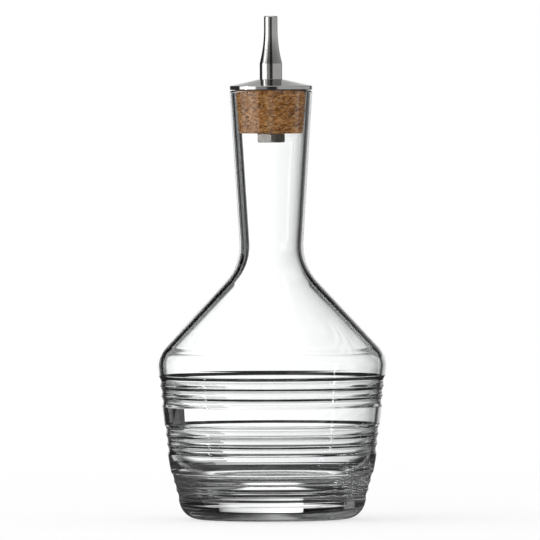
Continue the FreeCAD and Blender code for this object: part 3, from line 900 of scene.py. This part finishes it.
def by_distance(tree, distance, stops):
    """Brightness for a distance on the table, from (metres, brightness) stops."""
    part = node(tree, "ShaderNodeMapRange", {"Value": distance, "From Max": TABLE_RADIUS})[0]
    places = [(metres / TABLE_RADIUS, grey(level)) for metres, level in stops]
    return node(tree, "ShaderNodeValToRGB", {"Fac": part}, places)[0]


place = node(tree, "ShaderNodeTexCoord")["Object"]
distance = node(tree, "ShaderNodeVectorMath", {0: place}, operation="LENGTH")["Value"]
spot = node(tree, "ShaderNodeSeparateXYZ", {"Vector": place})
from_apex = node(tree, "ShaderNodeMath", {0: spot["Y"], 1: SHEET_APEX}, operation="ADD")[0]
spot_turn = node(tree, "ShaderNodeMath", {0: spot["X"], 1: from_apex}, operation="ARCTAN2")[0]
sheet = node(tree, "ShaderNodeMath", {
    0: by_angle(tree, spot_turn, SHEET), 1: by_distance(tree, distance, SHEET_START)},
    operation="MULTIPLY")[0]
foot_ring = node(tree, "ShaderNodeMath", {
    0: by_angle(tree, spot_turn, sector(-FOOT_RING_TURN, FOOT_RING_TURN)),
    1: by_distance(tree, distance, FOOT_RING)}, operation="MULTIPLY")[0]
sheet = node(tree, "ShaderNodeMath", {0: sheet, 1: foot_ring}, operation="MAXIMUM")[0]
print("sheet from", SHEET[1][0], "to", SHEET[-2][0], "degrees")

# %% [markdown]
# The sectors of floor that are lit for views from above have to go on across the table, which hides
# the world's floor. They are dim close to the bottle, where the level view would see them, and
# brighter further out.

# %% Table: the lit floor
FLOOR_NEAR, FLOOR_FAR = 0.3, 0.8
FLOOR_START_EDGE, FLOOR_END_EDGE = 0.015, 0.01
for first, last, start, end in LIT_FLOORS:
    patch = by_distance(tree, distance, [
        (0.0, FLOOR_NEAR), (start, FLOOR_NEAR), (start + FLOOR_START_EDGE, FLOOR_FAR),
        (end, FLOOR_FAR), (end + FLOOR_END_EDGE, 0.0)])
    lit = node(tree, "ShaderNodeMath", {
        0: patch, 1: by_angle(tree, spot_turn, sector(first, last))}, operation="MULTIPLY")[0]
    sheet = node(tree, "ShaderNodeMath", {0: sheet, 1: lit}, operation="MAXIMUM")[0]
print("table lit to", max(end for *_, end in LIT_FLOORS), "m")

# %% [markdown]
# The two answers are now joined: mirrors and glass get the staged table, every other ray the white
# one. A transparent shader takes over towards the rim, smoothly, so that no edge shows.

# %% Table: one surface for all rays
TABLE_MIRRORED = 0.06
FADE_START, FADE_END = 0.15, 0.55
shown = node(tree, "ShaderNodeMix", {
    "Factor": path["Is Transmission Ray"], 2: TABLE_MIRRORED, 3: sheet}, data_type="FLOAT")[0]
staged_top = node(tree, "ShaderNodeEmission", {"Color": shown, "Strength": 1.0})[0]
surface = node(tree, "ShaderNodeMixShader", {"Fac": shiny, 1: table_top, 2: staged_top})[0]
fade = node(tree, "ShaderNodeMapRange", {
    "Value": distance, "From Min": FADE_START, "From Max": FADE_END},
    interpolation_type="SMOOTHSTEP")[0]
clear = node(tree, "ShaderNodeBsdfTransparent")[0]
faded = node(tree, "ShaderNodeMixShader", {"Fac": fade, 1: surface, 2: clear})[0]
node(tree, "ShaderNodeOutputMaterial", {"Surface": faded})
print("table nodes", len(tree.nodes))

# %% [markdown]
# ### Cards
# Rays that leave the thick base nearly level would run on to the backdrop, so low black cards stand
# beside it, as on a photographer's table. One raised card draws the black hook at the left of the
# plain band. The ramps of the world could not do this, because they know a ray's direction and not
# its height. Only rays that come out of the glass see the cards.

# %% Black cards beside the bottle
CARD_STEPS = 33
CARDS = [  # distance in metres, first and last turn, lower and upper edge in metres
    (0.115, -28.0, -8.5, 0.0, 0.014), (0.05, -110.0, -22.0, 0.0, 0.005),
    (0.115, -34.0, -18.0, 0.022, 0.037), (0.115, 17.0, 110.0, 0.0, 0.014)]


def standing_card(name, radius, first, last, low, high):
    """An upright arc: x = r sin(turn), y = r cos(turn), and z from low to high."""
    turn = np.radians(np.linspace(first, last, CARD_STEPS))
    level = np.full(CARD_STEPS, low)
    foot = np.stack([radius * np.sin(turn), radius * np.cos(turn), level], axis=-1)
    j = np.arange(CARD_STEPS - 1)
    faces = np.stack([j, j + 1, j + CARD_STEPS + 1, j + CARD_STEPS], axis=-1).tolist()
    card = stage_piece(name, np.concatenate([foot, foot + (0.0, 0.0, high - low)]), faces)
    card.visible_camera = card.visible_diffuse = card.visible_shadow = card.visible_glossy = False
    return card


cards = [standing_card(f"black_card_{number}", *sizes) for number, sizes in enumerate(CARDS, 1)]
tree = new_material("black_card_matt", *cards)
black = node(tree, "ShaderNodeBsdfDiffuse", {"Color": linear("#0A0A0A")})[0]
node(tree, "ShaderNodeOutputMaterial", {"Surface": black})
print("black cards", len(cards))

# %% [markdown]
# ### Strip light
# A narrow upright lamp on the left gives glass and metal the thin highlight of a studio lamp. It
# could be one more stop in the world, but a lamp is near, so its reflection moves over the curved
# neck as a real one does.

# %% Strip light
STRIP_WIDTH, STRIP_HEIGHT = 0.022, 0.5
STRIP_DISTANCE, STRIP_LEVEL = 0.6, 0.36
STRIP_ANGLE = math.radians(75.0)
STRIP_RADIANCE = 12.0
strip_data = bpy.data.lights.new("strip_light", "AREA")
strip_data.shape = "RECTANGLE"
strip_data.size, strip_data.size_y = STRIP_WIDTH, STRIP_HEIGHT
strip_data.energy = STRIP_RADIANCE * math.pi * STRIP_WIDTH * STRIP_HEIGHT
strip = bpy.data.objects.new("strip_light", strip_data)
bpy.context.scene.collection.objects.link(strip)
strip.location = (
    -STRIP_DISTANCE * math.sin(STRIP_ANGLE), -STRIP_DISTANCE * math.cos(STRIP_ANGLE), STRIP_LEVEL)
strip.rotation_euler = (math.pi / 2, 0.0, -STRIP_ANGLE)
strip.visible_camera = False
print("strip light", round(strip_data.energy, 2), "W")

# %% [markdown]
# ## Camera
# The photograph was taken nearly level with a long lens, so upright lines stay upright and the
# rings look almost straight. The camera could be set by eye. Here the lens follows from the
# distance and from the real size that one picture width covers, and the aim from where the bottle's
# axis and base lie in the picture.

# %% Camera
PICTURE_WIDTH = 540
MM_PER_PIXEL = 0.29423
METRES_PER_PIXEL = MM_PER_PIXEL * MM
AXIS_PIXEL, BASE_PIXEL = 271.6, 518.9  # from the left, from the top
DISTANCE = 4.0
ELEVATION, ROLL = math.radians(1.3), math.radians(-0.2)
SENSOR_WIDTH = 36.0
middle_pixel = PICTURE_WIDTH / 2
target = np.array([
    (middle_pixel - AXIS_PIXEL) * METRES_PER_PIXEL, 0.0,
    (BASE_PIXEL - middle_pixel) * METRES_PER_PIXEL])
camera_data = bpy.data.cameras.new("photo_camera")
camera_data.sensor_width = SENSOR_WIDTH
camera_data.lens = SENSOR_WIDTH * DISTANCE / (PICTURE_WIDTH * METRES_PER_PIXEL)
camera = bpy.data.objects.new("photo_camera", camera_data)
bpy.context.scene.collection.objects.link(camera)
camera.location = target + DISTANCE * np.array([0.0, -math.cos(ELEVATION), math.sin(ELEVATION)])
camera.rotation_mode = "ZXY"
camera.rotation_euler = (math.pi / 2 - ELEVATION, 0.0, ROLL)
bpy.context.scene.camera = camera
bpy.context.scene.view_settings.view_transform = "Standard"
cycles = bpy.context.scene.cycles
cycles.max_bounces, cycles.glossy_bounces, cycles.transmission_bounces = 24, 16, 24
print("lens", round(camera_data.lens, 1), "mm")
